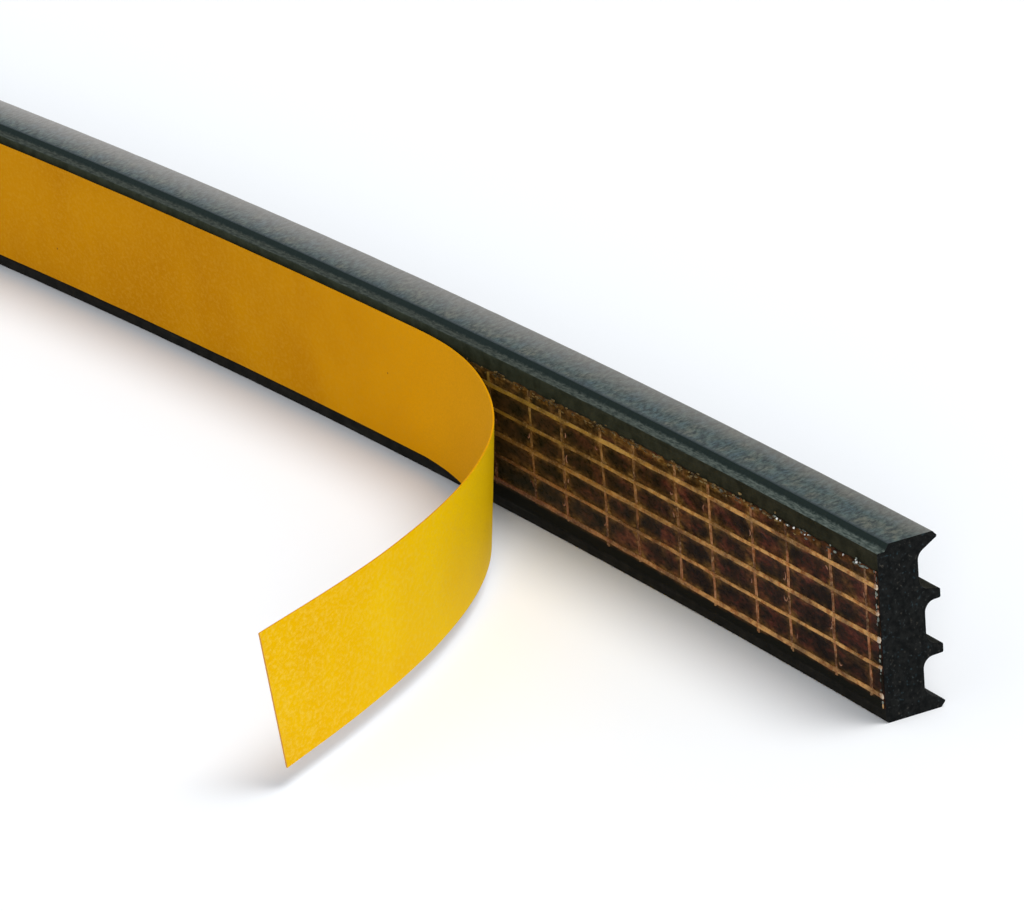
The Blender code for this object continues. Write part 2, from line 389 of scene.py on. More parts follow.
def top_rubber():
    """The skin of the upper face: cloudy, cool and dark, with a painted sheen on its back edge that grows
    away from the cut, and painted shade along its front edge by the step.

    The map's second coordinate is depth plus height, so it runs on over the ledge, the step and this face.
    """
    surface = Surface("rubber_top_skin", IOR=1.45)
    place = surface.place()
    grain = surface.noise(surface.place((1.0, 0.5, 1.0), (0, 0, 35)), 2.4, 4.0, 0.7)
    clouds = surface.noise(place, 0.45, 4.0, 0.6)
    fine = surface.noise(place, 6.0, 2.0)
    colour = surface.ramp(
        clouds,
        (0.36, (0.022, 0.056, 0.060)),
        (0.5, (0.040, 0.068, 0.052)),
        (0.64, (0.078, 0.082, 0.050)),
    )
    colour = surface.mix(surface.spread(grain, 0.42, 0.58, 0.0, 0.9), colour, (0.004, 0.011, 0.010))
    # painted sheen: paler towards the back edge, and paler and wider away from the cut
    pale = surface.mix(surface.toward_liner(20, 150), (0.16, 0.148, 0.125), (0.34, 0.315, 0.29))
    across = surface.axis(1, "UV")
    start = surface.spread(surface.toward_liner(20, 70), 0, 1, 18.2, 16.4)
    colour = surface.mix(surface.spread(across, start, 20.5, 0.0, 0.95), colour, pale)
    # painted shade: darker along the front edge, beside the step
    ragged = surface.plus(across, surface.spread(grain, 0.3, 0.7, -0.14, 0.14))
    colour = surface.mix(surface.spread(ragged, 16.1, 16.5), (0.010, 0.019, 0.020), colour)
    normal = surface.bump(grain, 0.05 * MM, 0.9)
    normal = surface.bump(fine, 0.02 * MM, 0.7, normal)
    return surface.finish(colour, surface.spread(grain, 0.3, 0.7, 0.32, 0.6), normal)


def ledge_rubber():
    """The narrow ledge in front of the upper face, streaked with grey that is partly painted sheen and
    brighter near the cut, and the dark step between them.
    """
    surface = Surface("rubber_ledge_skin", IOR=1.1)
    grain = surface.noise(surface.place(), 2.4, 4.0, 0.7)
    streaks = surface.noise(surface.place((0.3, 1, 1), source="UV"), 4.2, 4.0, 0.7)
    # near and far: grey streaks, partly painted sheen, brighter near the cut
    near = surface.ramp(streaks, (0.38, (0.022, 0.033, 0.030)), (0.62, (0.110, 0.132, 0.116)))
    far = surface.ramp(streaks, (0.38, (0.022, 0.028, 0.024)), (0.62, (0.064, 0.074, 0.062)))
    ledge = surface.mix(surface.toward_liner(5, 65), near, far)
    ragged = surface.plus(surface.axis(1, "UV"), surface.spread(grain, 0.3, 0.7, -0.14, 0.14))
    colour = surface.mix(surface.spread(ragged, 15.1, 15.4), ledge, (0.015, 0.023, 0.021))
    normal = surface.bump(grain, 0.05 * MM, 0.9)
    return surface.finish(colour, surface.spread(grain, 0.3, 0.7, 0.5, 0.8), normal)


def cut_foam():
    """A cut face: open foam cells, a few of them catching light."""
    surface = Surface("cut_foam", IOR=1.12)
    place = surface.place()
    cells = surface.cells(place, 2.4)
    mottle = surface.noise(place, 2.0, 4.0, 0.6)
    specks = surface.noise(place, 3.4, 2.0)
    tint = surface.noise(place, 1.2, 2.0)
    colour = surface.ramp(mottle, (0.4, (0.004, 0.0045, 0.0045)), (0.65, (0.009, 0.0095, 0.009)))
    glow = surface.mix(surface.spread(tint, 0.4, 0.6), (0.016, 0.030, 0.036), (0.040, 0.036, 0.030))
    colour = surface.mix(surface.spread(specks, 0.6, 0.74), colour, glow)
    normal = surface.bump(cells, 0.10 * MM, 0.7)
    normal = surface.bump(specks, 0.05 * MM, 0.7, normal)
    return surface.finish(colour, surface.spread(mottle, 0.3, 0.7, 0.85, 0.6), normal)


def tacky_film():
    """Maroon adhesive over black rubber, olive towards the liner as a painted reflection of it; its map
    holds the shares of amber and of bare rubber.
    """
    surface = Surface("tacky_film", IOR=1.07)
    place = surface.place((0.5, 0.5, 1))
    patches = surface.noise(place, 0.6, 4.0, 0.6, 0.3)
    fine = surface.noise(place, 2.8, 3.0, 0.6)
    both = surface.mix(0.3, patches, fine)
    near = surface.ramp(
        both,
        (0.42, (0.006, 0.0035, 0.0025)),
        (0.51, (0.019, 0.008, 0.005)),
        (0.59, (0.055, 0.014, 0.009)),
        (0.68, (0.125, 0.040, 0.022)),
    )
    # far: olive, a painted reflection of the yellow liner
    far = surface.ramp(
        both,
        (0.4, (0.012, 0.012, 0.006)),
        (0.55, (0.030, 0.022, 0.010)),
        (0.7, (0.06, 0.036, 0.014)),
    )
    colour = surface.mix(surface.toward_liner(30, 62), near, far)
    thick = surface.ramp(
        fine,
        (0.38, (0.07, 0.030, 0.006)),
        (0.55, (0.17, 0.085, 0.018)),
        (0.7, (0.30, 0.18, 0.06)),
    )
    shares = surface.add("ShaderNodeSeparateXYZ")
    surface.feed(shares.inputs[0], surface.add("ShaderNodeTexCoord").outputs["UV"])
    colour = surface.mix(shares.outputs[0], colour, thick)
    colour = surface.mix(shares.outputs[1], colour, (0.008, 0.008, 0.006))
    normal = surface.bump(patches, 0.10 * MM, 0.6)
    normal = surface.bump(fine, 0.04 * MM, 0.7, normal)
    gloss = surface.spread(fine, 0.3, 0.7, 0.2, 0.45)
    return surface.finish(colour, surface.spread(shares.outputs[1], 0, 1, gloss, 0.8), normal)


def strand_surface(name, near, liner_reflection_high, painted_shade_low, spare):
    """Soaked glass yarn: its colour near the cut end, and near the liner high up and low down, which is
    painted reflection of the liner high up and painted shade low down.
    """
    surface = Surface(name, IOR=1.18)
    place = surface.place()
    fibres = surface.noise(place, 4.0, 3.0, 0.6)
    patches = surface.noise(surface.place((0.5, 0.5, 1)), 0.7, 3.0)
    tone = surface.noise(place, 1.5, 3.0, 0.6)
    deep = tuple(part * share for part, share in zip(near, (0.6, 0.42, 0.3)))
    near = surface.ramp(tone, (0.4, deep), (0.54, near))
    # near the liner: painted reflection of the liner high up, painted shade low down
    far = surface.mix(surface.spread(surface.axis(2), 4, 11), painted_shade_low, liner_reflection_high)
    colour = surface.mix(surface.toward_liner(16, 62), near, far)
    colour = surface.mix(surface.spread(patches, 0.42, 0.62, 0.0, spare), colour, (0.035, 0.014, 0.006))
    # pale fibre streaks: painted highlights along the yarn
    colour = surface.mix(surface.spread(fibres, 0.5, 0.72, 0.0, 0.4), colour, (0.50, 0.33, 0.18))
    normal = surface.bump(fibres, 0.04 * MM, 0.6)
    return surface.finish(colour, surface.spread(fibres, 0.3, 0.7, 0.3, 0.6), normal)


def bead_surface(name, dark, light, ior):
    surface = Surface(name, IOR=ior)
    place = surface.place()
    tint = surface.noise(place, 1.1, 2.0)
    fine = surface.noise(place, 5.0, 2.0)
    colour = surface.ramp(tint, (0.38, dark), (0.62, light))
    normal = surface.bump(fine, 0.03 * MM, 0.6)
    return surface.finish(colour, surface.spread(fine, 0.3, 0.7, 0.12, 0.35), normal)


def coated_paper(name, deep, base, bend_lit_colour, span, pale, fleck_share, roughness):
    """Cloudy colour, short pale flecks, rare dark specks and a faint fibre grain.

    The map's first coordinate is the distance past the peel line: over the span of two such distances
    in millimetres the colour turns to painted light towards the bend, and the flecks become fewer.
    """
    surface = Surface(name, IOR=1.05)
    place = surface.place()
    stretched = surface.place((0.7, 0.7, 1))
    # painted light: the paper brighter towards the bend, against the shade there
    bend_light_share = surface.spread(surface.axis(0, "UV"), *span)
    clouds = surface.noise(place, 0.12, 3.0, 0.5)
    fibres = surface.noise(stretched, 3.0, 4.0, 0.75, 0.2)
    fine = surface.noise(stretched, 6.0, 2.0)
    specks = surface.cells(place, 0.16)
    colour = surface.ramp(clouds, (0.35, deep), (0.65, base))
    colour = surface.mix(bend_light_share, colour, bend_lit_colour)
    flecks = surface.spread(bend_light_share, 0, 1, fleck_share, 0.15 * fleck_share)
    colour = surface.mix(surface.spread(fibres, 0.46, 0.66, 0.0, flecks), colour, pale)
    colour = surface.mix(surface.spread(fine, 0.35, 0.65, 0.0, 0.2), colour, deep)
    colour = surface.mix(surface.spread(specks, 0.012, 0.02, 0.8, 0.0), colour, (0.05, 0.025, 0.01))
    normal = surface.bump(fibres, 0.02 * MM, 0.5)
    normal = surface.bump(fine, 0.01 * MM, 0.5, normal)
    uneven = surface.spread(fibres, 0.3, 0.7, roughness - 0.06, roughness + 0.06)
    return surface.finish(colour, uneven, normal)


# Rubber


def rounded_outline(corners):
    """Points (depth, height) of a closed outline whose corners (depth, height, radius) are arcs."""
    points = []
    for index, (depth, height, radius) in enumerate(corners):
        corner = Vector((depth, height))
        back = (Vector(corners[index - 1][:2]) - corner).normalized()
        ahead = (Vector(corners[(index + 1) % len(corners)][:2]) - corner).normalized()
        half = back.angle(ahead) / 2
        centre = corner + (back + ahead).normalized() * (radius / math.sin(half))
        first = corner + back * (radius / math.tan(half)) - centre
        last = corner + ahead * (radius / math.tan(half)) - centre
        start = math.atan2(first.y, first.x)
        sweep = math.remainder(math.atan2(last.y, last.x) - start, 2 * math.pi)
        steps = max(1, math.ceil(abs(sweep) / OUTLINE_STEP))
        for step in range(steps + 1):
            angle = start + sweep * step / steps
            points.append(centre + Vector((math.cos(angle), math.sin(angle))) * radius)
    return points


def section_corners():
    """The rubber's section, counter-clockwise from its bottom front edge."""
    bevel_depth, bevel_height = OUTER_LIP_BEVEL
    half_tip = INNER_LIP_THICKNESS / 2
    lower_flare, upper_flare = INNER_LIP_FLARES
    inner_floors = [STRIP_DEPTH - INNER_GROOVE_DEPTH] * (INNER_LIP_COUNT - 1)
    outer_floor = STRIP_DEPTH - OUTER_GROOVE_DEPTH
    floors = [outer_floor, *inner_floors, outer_floor]
    pitch = (STRIP_HEIGHT - 2 * bevel_height) / (INNER_LIP_COUNT + 1)
    corners = [
        (0.0, 0.0, FRONT_EDGE_RADIUS),
        (STRIP_DEPTH - bevel_depth, 0.0, LIP_TIP_RADIUS),
        (STRIP_DEPTH, bevel_height, LIP_TIP_RADIUS),
        (outer_floor, OUTER_LIP_FOOT, GROOVE_RADIUS),
    ]
    for index in range(INNER_LIP_COUNT):
        middle = bevel_height + pitch * (index + 1) - INNER_LIP_DROP
        corners += [
            (floors[index], middle - half_tip - lower_flare, GROOVE_RADIUS),
            (STRIP_DEPTH, middle - half_tip, LIP_TIP_RADIUS),
            (STRIP_DEPTH, middle + half_tip, LIP_TIP_RADIUS),
            (floors[index + 1], middle + half_tip + upper_flare, GROOVE_RADIUS),
        ]
    corners += [
        (outer_floor, STRIP_HEIGHT - OUTER_LIP_FOOT, GROOVE_RADIUS),
        (STRIP_DEPTH, STRIP_HEIGHT - bevel_height, LIP_TIP_RADIUS),
        (STRIP_DEPTH - bevel_depth, STRIP_HEIGHT, LIP_TIP_RADIUS),
        (LEDGE_WIDTH + LEDGE_STEP_RUN, STRIP_HEIGHT, LEDGE_RADIUS),
        (LEDGE_WIDTH, LEDGE_HEIGHT, LEDGE_RADIUS),
        (0.0, LEDGE_HEIGHT, LEDGE_RADIUS),
    ]
    return corners


def fine_outline(longest):
    """The section's outline, with its long sides divided too."""
    outline = rounded_outline(section_corners())
    points = []
    for index, point in enumerate(outline):
        ahead = outline[(index + 1) % len(outline)]
        steps = max(1, math.ceil((ahead - point).length / longest))
        points += [point.lerp(ahead, step / steps) for step in range(steps)]
    return points


def make_rubber():
    """The extrusion's skin, fine where the camera is near, and a little uneven along its length."""
    outline = fine_outline(SECTION_STEP)
    rows = len(outline) + 1
    top_front = LEDGE_WIDTH + LEDGE_STEP_RUN - 0.03 * MM
    alongs = strip_steps(0.0, VIEWED_LENGTH, SKIN_STEP)
    shape = Shape()
    for along in alongs:
        for row in range(rows):
            point = outline[row % len(outline)]
            inside = Vector((STRIP_DEPTH * 0.45, STRIP_HEIGHT / 2)) - point
            press = SKIN_WAVE * max(0.0, wobble((along, point.x, point.y), 2.2 * MM, 22))
            moved = point + inside.normalized() * press * min(1.0, along / (0.5 * MM))
            shape.points.append(strip_point(along, moved.x, moved.y))
            shape.maps.append((along, point.x + point.y))
    for column in range(len(alongs) - 1):
        for row in range(rows - 1):
            first = column * rows + row
            middle = (outline[row] + outline[(row + 1) % len(outline)]) / 2
            material = SKIN
            if middle.y > LEDGE_HEIGHT - 0.06 * MM and middle.x < STRIP_DEPTH - 0.2 * MM:
                material = TOP if middle.x > top_front else LEDGE
            shape.add_face((first, first + rows, first + rows + 1, first + 1), material)
    return shape.add_piece("rubber_skin", [front_rubber(), top_rubber(), ledge_rubber()], math.radians(40))


def make_cut_end(name, along, outward, spacing):
    """A cut face with foam relief: the section filled with points, pressed in by noise."""
    border = fine_outline(spacing * 2)
    inside = []
    for row in range(1, int(STRIP_HEIGHT / spacing)):
        for column in range(1, int(STRIP_DEPTH / spacing)):
            jitter = Vector((random.uniform(-0.2, 0.2), random.uniform(-0.2, 0.2)))
            inside.append((Vector((column + 0.5 * (row % 2), row)) + jitter) * spacing)
    edges = [(index, (index + 1) % len(border)) for index in range(len(border))]
    flat, _, triangles, origins, _, _ = geometry.delaunay_2d_cdt(border + inside, edges, [], 1, 1e-7)
    shape = Shape()
    order = {}
    for triangle in triangles:
        for index in triangle:
            if index in order:
                continue
            order[index] = len(shape.points)
            depth, height = flat[index]
            pressed = 0.0
            if all(origin >= len(border) for origin in origins[index]):
                place = (depth, height, 0)
                pressed = 0.04 * MM * (1.1 - wobble(place, 0.45 * MM, 1) - 0.6 * wobble(place, 0.2 * MM, 2))
            shape.points.append(strip_point(along + outward * pressed, depth, height))
        corners = [order[index] for index in triangle]
        shape.add_face(corners if outward < 0 else corners[::-1])
    return shape.add_piece(name, [cut_foam()])


# Adhesive


def long_yarn_height(index, along):
    place = (along, index, 0)
    drift = 0.05 * MM * wobble(place, 9 * MM, 3) + 0.03 * MM * wobble(place, 2.5 * MM, 4)
    share = min(max((along - 22 * MM) / (34 * MM), 0.0), 1.0)
    return YARN_HEIGHTS[index] + YARN_RISES[index] * share + drift


def cross_yarn_along(index, height):
    place = FIRST_CROSS_YARN + CROSS_YARN_PITCH * index - CROSS_YARN_STAGGER * (index % 2)
    return place + 0.14 * MM * wobble((height, 7.1 * index * MM, 0), 5 * MM, 6)


def film_relief(along, height):
    """How far the adhesive stands out: clouds, and a rise beside each yarn."""
    place = (along, height, 0)
    rise = 0.03 * MM * wobble(place, 1.3 * MM, 7) + 0.015 * MM * wobble(place, 0.5 * MM, 8)
    for index in range(len(YARN_HEIGHTS)):
        away = (height - long_yarn_height(index, along)) / (0.35 * MM)
        rise += 0.05 * MM * math.exp(-away * away)
    return rise


def amber_share(along, height):
    """How amber the adhesive is: along its upper edge, beside the yarns and in pools where they cross."""
    place = (along, height, 0)
    row = min(range(len(YARN_HEIGHTS)), key=lambda index: abs(height - YARN_HEIGHTS[index]))
    column = min(range(CROSS_YARN_COUNT), key=lambda index: abs(along - cross_yarn_along(index, height)))
    to_row = (height - long_yarn_height(row, along)) / MM
    to_column = (along - cross_yarn_along(column, height)) / MM
    to_rim = (FILM_TOP - 0.25 * MM - height) / MM
    wide = min(along / (25 * MM), 1.0)
    beside = 0.55 * math.exp(-((to_row / (0.3 + 0.1 * wide)) ** 2))
    beside += (0.25 + 0.2 * wide) * math.exp(-((to_column / (0.3 + 0.2 * wide)) ** 2))
    pool = math.exp(-((to_row / (0.5 + 0.15 * wide)) ** 2) - (to_column / (0.6 + 0.5 * wide)) ** 2)
    rim = (0.25 + 0.35 * wide) * math.exp(-((to_rim / 0.5) ** 2))
    share = max(beside, pool, rim) * (0.55 + 0.3 * wide + 1.1 * wobble(place, 0.8 * MM, 15))
    share += 0.5 * max(0.0, wobble(place, 2.2 * MM, 16) - 0.25)
    return min(max(share, 0.0), 1.0)


def bare_share(along, height):
    """How little adhesive lies on the rubber: hardly any below the lowest yarn and at the cut."""
    below = long_yarn_height(0, along) - 0.22 * MM + 0.15 * MM * wobble((along, 0, 0), 1.5 * MM, 17) - height
    at_cut = 0.3 * MM + 0.2 * MM * wobble((height, 0, 0), 0.8 * MM, 18) - along
    return min(max(below / (0.3 * MM), at_cut / (0.2 * MM), 0.0), 1.0)


def make_film():
    """The coat of adhesive, with ragged edges and a rise along each yarn."""
    alongs = strip_steps(0.0, PEEL_LINE + SCRIM_TUCK, FILM_STEP)
    rows = FILM_ROWS
    shape = Shape()
    for along in alongs:
        place = (along, 0, 0)
        ragged = 0.16 * MM * wobble(place, 1.1 * MM, 9) + 0.09 * MM * wobble(place, 0.4 * MM, 10)
        top = FILM_TOP + ragged
        bottom = FILM_BOTTOM + 0.1 * MM * wobble(place, 1.6 * MM, 11)
        shape.points.append(strip_point(along, FILM_BACK, bottom))
        shape.maps.append((0.0, 0.0))
        for row in range(rows - 1):
            height = bottom + (top - bottom) * row / (rows - 2)
            edge = min(row, rows - 2 - row, 2) / 2
            trim = 0.0
            if along == 0.0:
                trim = 0.12 * MM * (1 + wobble((height, 0, 0), 0.7 * MM, 12))
            face = FILM_FACE * (0.45 + 0.55 * edge) - film_relief(along, height) * edge
            shape.points.append(strip_point(along + trim, face, height))
            shape.maps.append((amber_share(along, height), bare_share(along, height)))
        shape.points.append(strip_point(along, FILM_BACK, top))
        shape.maps.append((0.0, 0.0))
    shape.add_grid(len(alongs), rows + 1)
    for column in range(len(alongs) - 1):
        first = column * (rows + 1)
        second = first + rows + 1
        shape.add_face((first, second, second + rows, first + rows))
    shape.add_face(range(rows, -1, -1))
    last = (len(alongs) - 1) * (rows + 1)
    shape.add_face(range(last, last + rows + 1))
    return shape.add_piece("adhesive_coat", [tacky_film()])


def add_crescent(shape, along, height, radius, thickness, start, sweep):
    """A curved ridge of adhesive, thick in its middle and thin at its ends."""
    rings = []
    for step in range(CRESCENT_STEPS + 1):
        angle = start + sweep * step / CRESCENT_STEPS
        girth = thickness * (0.35 + 0.65 * math.sin(math.pi * step / CRESCENT_STEPS))
        ring = []
        for side in range(STRAND_SIDES):
            around = 2 * math.pi * side / STRAND_SIDES
            reach = radius + girth * math.cos(around)
            out = 0.8 * girth * math.sin(around)
            place = along + 0.7 * reach * math.cos(angle)
            ring.append(strip_point(place, FILM_FACE - out, height + reach * math.sin(angle)))
        rings.append(ring)
    shape.add_tube(rings, PALE)


def random_size(*ranges):
    """A bead's half lengths along the strip, out of it and up, each drawn from a range in millimetres."""
    return tuple(random.uniform(*limits) * MM for limits in ranges)


def make_adhesive_bits():
    """Beads and ridges of adhesive: along the upper edge, at the crossings and at the cut."""
    shape = Shape()
    for _ in range(EDGE_BEAD_COUNT):
        along = random.uniform(0.5, 71) * MM
        height = FILM_TOP + random.gauss(-0.15, 0.16) * MM
        size = random_size((0.10, 0.38), (0.05, 0.10), (0.05, 0.12))
        material = AMBER if along > random.uniform(6, 26) * MM else GREY
        shape.add_bead(along, FILM_FACE * 0.8, height, size, material)
    # white beads as painted glints along the film's edge
    for along in GLINTS:
        for largest in (0.12, 0.07):
            size = random.uniform(0.6, 1.0) * largest * MM
            place = along + random.gauss(0.0, 0.3) * MM
            height = FILM_TOP + random.gauss(0.0, 0.08) * MM
            shape.add_bead(place, FILM_FACE * 1.1, height, (size, size, size), PAINTED_GLINT)
    for _ in range(CUT_BEAD_COUNT):
        height = random.uniform(FILM_BOTTOM + 0.2 * MM, FILM_TOP)
        along = random.uniform(0.02, 0.3) * MM
        size = random_size((0.05, 0.12), (0.04, 0.08), (0.06, 0.25))
        shape.add_bead(along, FILM_FACE, height, size, random.choice((PALE, GREY, GREY)))
    shape.add_bead(0.12 * MM, FILM_FACE, 1.5 * MM, (0.08 * MM, 0.06 * MM, 0.24 * MM), CROSSING)
    for column in range(CROSS_YARN_COUNT - 1):
        for row in range(len(YARN_HEIGHTS)):
            height = long_yarn_height(row, cross_yarn_along(column, 0.0))
            along = cross_yarn_along(column, height)
            size = (random.uniform(0.16, 0.32) * MM, 0.09 * MM, random.uniform(0.16, 0.28) * MM)
            place = along + random.uniform(-0.1, 0.1) * MM
            shape.add_bead(place, FILM_FACE - 0.04 * MM, height, size, CROSSING)
            if random.random() < 0.4 and row > 0:
                side = random.choice((-1, 1))
                centre = along + side * random.uniform(0.45, 0.8) * MM
                below = height - random.uniform(0.7, 1.5) * MM
                radius = random.uniform(0.24, 0.42) * MM
                turn = random.uniform(0, 2 * math.pi)
                add_crescent(shape, centre, below, radius, 0.08 * MM, turn, random.uniform(1.6, 3.6))
    materials = [
        bead_surface("amber_beads", (0.035, 0.022, 0.008), (0.17, 0.11, 0.035), 1.35),
        bead_surface("pale_ridges", (0.10, 0.035, 0.02), (0.26, 0.13, 0.08), 1.2),
        bead_surface("painted_glint_beads", (0.3, 0.3, 0.28), (0.8, 0.8, 0.78), 1.5),
        bead_surface("crossing_beads", (0.16, 0.08, 0.02), (0.36, 0.21, 0.09), 1.2),
        bead_surface("grey_beads", (0.03, 0.036, 0.030), (0.16, 0.18, 0.155), 1.35),
    ]
    return shape.add_piece("adhesive_bits", materials)


# Yarns


def add_strand(shape, centres, half_width, half_thickness, material):
    """A strand through (along, depth, height) centres, either lengthwise or crosswise."""
    lengthwise = abs(centres[-1][0] - centres[0][0]) > abs(centres[-1][2] - centres[0][2])
    rings = []
    for along, depth, height in centres:
        girth = 1 + 0.3 * wobble((along, height, depth * 20), 1.6 * MM, 13)
        ring = []
        for side in range(STRAND_SIDES):
            angle = 2 * math.pi * side / STRAND_SIDES
            out = half_thickness * girth * math.cos(angle)
            across = half_width * girth * math.sin(angle)
            if lengthwise:
                ring.append(strip_point(along, depth - out, height + across))
            else:
                ring.append(strip_point(along + across, depth - out, height))
        rings.append(ring)
    shape.add_tube(rings, material)


def make_scrim():
    """Lengthwise yarns of three strands over thinner cross yarns of two, sunk in the adhesive."""
    shape = Shape()
    for index in range(len(YARN_HEIGHTS)):
        for strand in (-1, 0, 1):
            first = -random.uniform(0.0, 0.15) * MM
            frayed = [first, first + 0.15 * MM, first + 0.3 * MM]
            alongs = frayed + even_steps(first + 0.5 * MM, PEEL_LINE + SCRIM_TUCK, 0.45 * MM)
            centres = []
            for along in alongs:
                seed = 30 + strand + 3 * index
                drift = 0.045 * MM * wobble((along, 0, 0), 3 * MM, seed)
                spread = 0.11 * MM * YARN_GIRTHS[index] * strand + drift
                depth = -0.235 * MM - 0.03 * MM * wobble((along, 0, 0), 2 * MM, seed + 20)
                centres.append((along, depth, long_yarn_height(index, along) + spread))
            half_width = 0.088 * MM * YARN_GIRTHS[index]
            add_strand(shape, centres[:3], 1.15 * half_width, 0.08 * MM, FRAYED)
            add_strand(shape, centres[2:], half_width, 0.07 * MM, LENGTHWISE)
    for index in range(CROSS_YARN_COUNT):
        low = long_yarn_height(0, cross_yarn_along(index, 0.0)) - random.uniform(0.35, 0.65) * MM
        high = FILM_TOP - random.uniform(0.0, 0.4) * MM
        for strand in (-1, 1):
            centres = []
            for height in even_steps(low + random.uniform(0.0, 0.15) * MM, high, 0.25 * MM):
                seed = 60 + strand + 3 * index
                spread = 0.085 * MM * strand + 0.05 * MM * wobble((height, 0, 0), 2.5 * MM, seed)
                depth = -0.175 * MM - 0.06 * MM * wobble((height, 0, 0), 1.8 * MM, seed + 20)
                centres.append((cross_yarn_along(index, height) + spread, depth, height))
            add_strand(shape, centres[:2], 0.10 * MM, 0.08 * MM, CROSS_TIP)
            add_strand(shape, centres[1:], 0.09 * MM, 0.07 * MM, CROSSWISE)
    looks = (
        ("lengthwise_strand", (0.49, 0.26, 0.085), (0.29, 0.19, 0.025), (0.15, 0.050, 0.018), 0.7),
        ("cross_strand", (0.31, 0.135, 0.06), (0.20, 0.13, 0.025), (0.12, 0.042, 0.018), 0.9),
        ("frayed_ends", (0.45, 0.36, 0.27), (0.34, 0.19, 0.06), (0.34, 0.19, 0.06), 0.2),
        ("cross_tips", (0.32, 0.17, 0.07), (0.24, 0.12, 0.03), (0.14, 0.05, 0.02), 0.6),
    )
    materials = [strand_surface(*look) for look in looks]
    return shape.add_piece("scrim_yarns", materials, math.radians(60))


# Liner


def liner_turn(distance):
    """How far the free liner has turned from the strip's direction, at a distance from the peel line."""
    curvature = LINER_TURN / (LINER_FREE_LENGTH - (LINER_EASE_IN + LINER_EASE_OUT) / 2)
    left = LINER_FREE_LENGTH - distance
    if distance < LINER_EASE_IN:
        return curvature * distance**2 / (2 * LINER_EASE_IN)
    if left < LINER_EASE_OUT:
        return LINER_TURN - curvature * left**2 / (2 * LINER_EASE_OUT)
    return curvature * (distance - LINER_EASE_IN / 2)


def liner_stations():
    """From the far end: place in plan, heading, and distance past the peel line, negative before it."""
    stations = []
    alongs = strip_steps(PEEL_LINE, VIEWED_LENGTH, SEATED_LINER_STEP)
    for along in alongs[:0:-1]:
        stations.append((strip_point(along, LINER_DEPTH, 0.0), -strip_turn(along), PEEL_LINE - along))
    distances = even_steps(0.0, LINER_FREE_LENGTH, FREE_LINER_STEP)
    step = distances[1]
    place = strip_point(PEEL_LINE, LINER_DEPTH, 0.0)
    start = -strip_turn(PEEL_LINE)
    for distance in distances:
        stations.append((place, start - liner_turn(distance), distance))
        middle = start - liner_turn(min(distance + step / 2, LINER_FREE_LENGTH))
        place = place + Vector((math.cos(middle), math.sin(middle), 0.0)) * step
    return stations


def make_liner():
    """The paper, with materials for its outer side and long edges, its release side and its cut ends."""
    shape = Shape()
    stations = liner_stations()
    rows = LINER_ROWS
    sheets = ([], [])
    for place, heading, distance in stations:
        ahead = Vector((math.cos(heading), math.sin(heading), 0.0))
        inwards = Vector((math.sin(heading), -math.cos(heading), 0.0))
        share = max(distance, 0.0) / LINER_FREE_LENGTH
        slit = 0.03 * MM * wobble((distance, 0, 0), 6 * MM, 20)
        for row in range(rows):
            up = row / (rows - 1)
            height = LINER_BOTTOM + slit + (LINER_TOP - LINER_BOTTOM) * up
            lean = LINER_LEAN * math.sin(math.pi * share) * (1 - up)
            fade = min(share * 4, 1, 6 - share * 6)
            ripple = 0.14 * MM * wobble((distance, height, 0), 13 * MM, 21) * fade
            cut_back = LINER_END_SLANT * share * (1 - up)
            middle = place + inwards * (lean + ripple) - ahead * cut_back + Vector((0, 0, height))
            for sheet, side in zip(sheets, (0.5, -0.5)):
                sheet.append(middle + inwards * LINER_THICKNESS * side)
            shape.maps.append((distance, height))
    shape.points = sheets[0] + sheets[1]
    shape.maps *= 2
    count = len(sheets[0])
    columns = len(stations)
    for column in range(columns - 1):
        for row in range(rows - 1):
            first = column * rows + row
            second = first + rows
            shape.add_face((first, second, second + 1, first + 1), OUTER_SIDE)
            behind = (count + first, count + first + 1, count + second + 1, count + second)
            shape.add_face(behind, RELEASE_SIDE)
        low = column * rows
        high = low + rows - 1
        shape.add_face((low, count + low, count + low + rows, low + rows), OUTER_SIDE)
        shape.add_face((high, high + rows, count + high + rows, count + high), OUTER_SIDE)
    last = (columns - 1) * rows
    for row in range(rows - 1):
        shape.add_face((row, row + 1, count + row + 1, count + row), CUT_END)
        first = last + row
        shape.add_face((first, count + first, count + first + 1, first + 1), CUT_END)
    materials = [
        coated_paper(
            "liner_outer",
            deep=(0.41, 0.162, 0),
            base=(0.465, 0.195, 0),
            bend_lit_colour=(0.70, 0.31, 0),
            span=(-25, 24),
            pale=(0.52, 0.26, 0.02),
            fleck_share=0.5,
            roughness=0.55,
        ),
        coated_paper(
            "liner_release",
            deep=(0.70, 0.375, 0),
            base=(0.74, 0.44, 0),
            bend_lit_colour=(0.98, 0.65, 0),
            span=(72, 8),
            pale=(0.78, 0.53, 0.07),
            fleck_share=0.6,
            roughness=0.45,
        ),
        coated_paper(
            "liner_cut_edge",
            deep=(0.35, 0.13, 0.02),
            base=(0.5, 0.24, 0.06),
            bend_lit_colour=(0.5, 0.24, 0.06),
            span=(0, 9),
            pale=(0.65, 0.4, 0.15),
            fleck_share=0.4,
            roughness=0.7,
        ),
    ]
    return shape.add_piece("liner_paper", materials, math.radians(50))


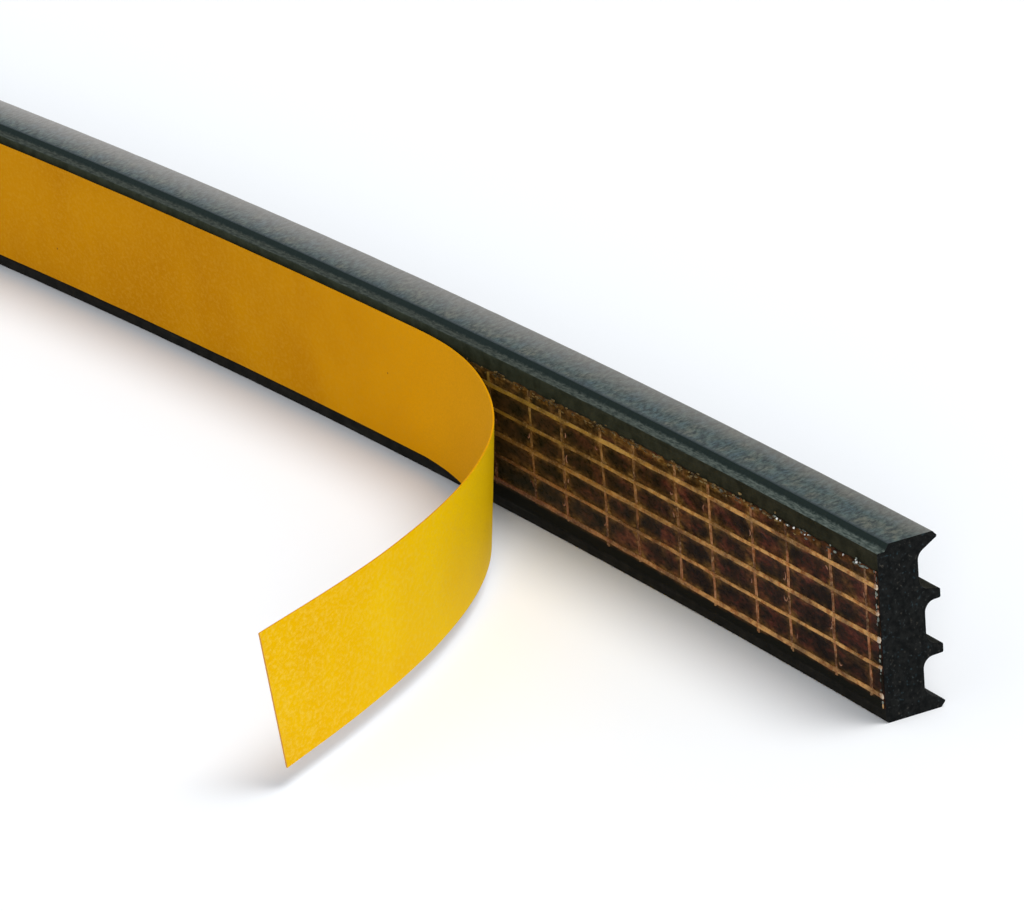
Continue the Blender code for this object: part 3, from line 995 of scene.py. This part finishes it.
def make_strip():
    """Each piece rides the one body; the main piece of a sub-part takes its place in the frame."""
    pieces = [
        (make_rubber(), "rubber", "rubber_profile"),
        (make_cut_end("near_cut_end", 0.0, 1, NEAR_CUT_SPACING), "rubber", None),
        (make_cut_end("far_cut_end", STRIP_LENGTH, -1, FAR_CUT_SPACING), "rubber", None),
        (make_film(), "adhesive", "adhesive_film"),
        (make_adhesive_bits(), "adhesive", None),
        (make_scrim(), "scrim", "reinforcing_scrim"),
        (make_liner(), "liner", "release_liner"),
    ]
    for piece, slot, node in pieces:
        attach(piece, "root")
        if node:
            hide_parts(node)


# Stage


def make_floor():
    surface = Surface("pale_floor", Roughness=0.9, IOR=1.1)
    surface.feed(surface.shader.inputs["Base Color"], FLOOR_COLOUR)
    shape = Shape()
    signs = ((-1, -1), (1, -1), (1, 1), (-1, 1))
    shape.points = [(FLOOR_REACH * x, FLOOR_REACH * y, 0) for x, y in signs]
    shape.add_face((0, 1, 2, 3))
    shape.add_piece("studio_floor", [surface.material])


def make_sky():
    """An even white studio, brighter towards its walls than overhead."""
    world = bpy.data.worlds.new("studio")
    bpy.context.scene.world = world
    world.use_nodes = True
    nodes = world.node_tree.nodes
    links = world.node_tree.links
    split = nodes.new("ShaderNodeSeparateXYZ")
    links.new(nodes.new("ShaderNodeTexCoord").outputs["Generated"], split.inputs[0])
    level = nodes.new("ShaderNodeMapRange")
    links.new(split.outputs["Z"], level.inputs["Value"])
    names = ("From Min", "From Max", "To Min", "To Max")
    for name, value in zip(names, (*SKY_CHANGE, SKY_LOW, SKY_HIGH)):
        level.inputs[name].default_value = value
    background = nodes["Background"]
    background.inputs["Color"].default_value = SKY_COLOUR
    links.new(level.outputs["Result"], background.inputs["Strength"])


def make_lights():
    """Two soft lights: one high on the far right, one low beside the camera."""
    for name, strength, softness, azimuth, elevation in SOFT_LIGHTS:
        light = bpy.data.lights.new(name, "SUN")
        light.energy = strength
        light.color = LIGHT_COLOUR
        light.angle = math.radians(softness)
        holder = bpy.data.objects.new(name, light)
        turn = math.radians(azimuth) - strip_turn(0.0)
        rise = math.radians(elevation)
        level = math.cos(rise)
        direction = Vector((math.cos(turn) * level, math.sin(turn) * level, math.sin(rise)))
        holder.rotation_euler = direction.to_track_quat("Z", "Y").to_euler()
        bpy.context.scene.collection.objects.link(holder)


def make_camera():
    turn = strip_turn(0.0)
    out = Vector((math.cos(turn), -math.sin(turn), 0.0))
    forward = Vector((-math.sin(turn), -math.cos(turn), 0.0))
    data = bpy.data.cameras.new("camera")
    data.sensor_width = CAMERA_SENSOR
    data.lens = CAMERA_LENS
    data.clip_start = 0.01
    data.clip_end = 20
    camera = bpy.data.objects.new("camera", data)
    corner = strip_point(0.0, 0.0, 0.0)
    camera.location = corner + out * CAMERA_OUT + forward * CAMERA_FORWARD + Vector((0, 0, CAMERA_UP))
    tilt = Euler((math.pi / 2 - CAMERA_PITCH, 0.0, CAMERA_YAW - turn)).to_matrix()
    roll = Euler((0.0, 0.0, CAMERA_ROLL)).to_matrix()
    camera.rotation_euler = (tilt @ roll).to_euler()
    bpy.context.scene.collection.objects.link(camera)
    bpy.context.scene.camera = camera


make_strip()
make_floor()
make_sky()
make_lights()
make_camera()
bpy.context.scene.view_settings.view_transform = "Standard"
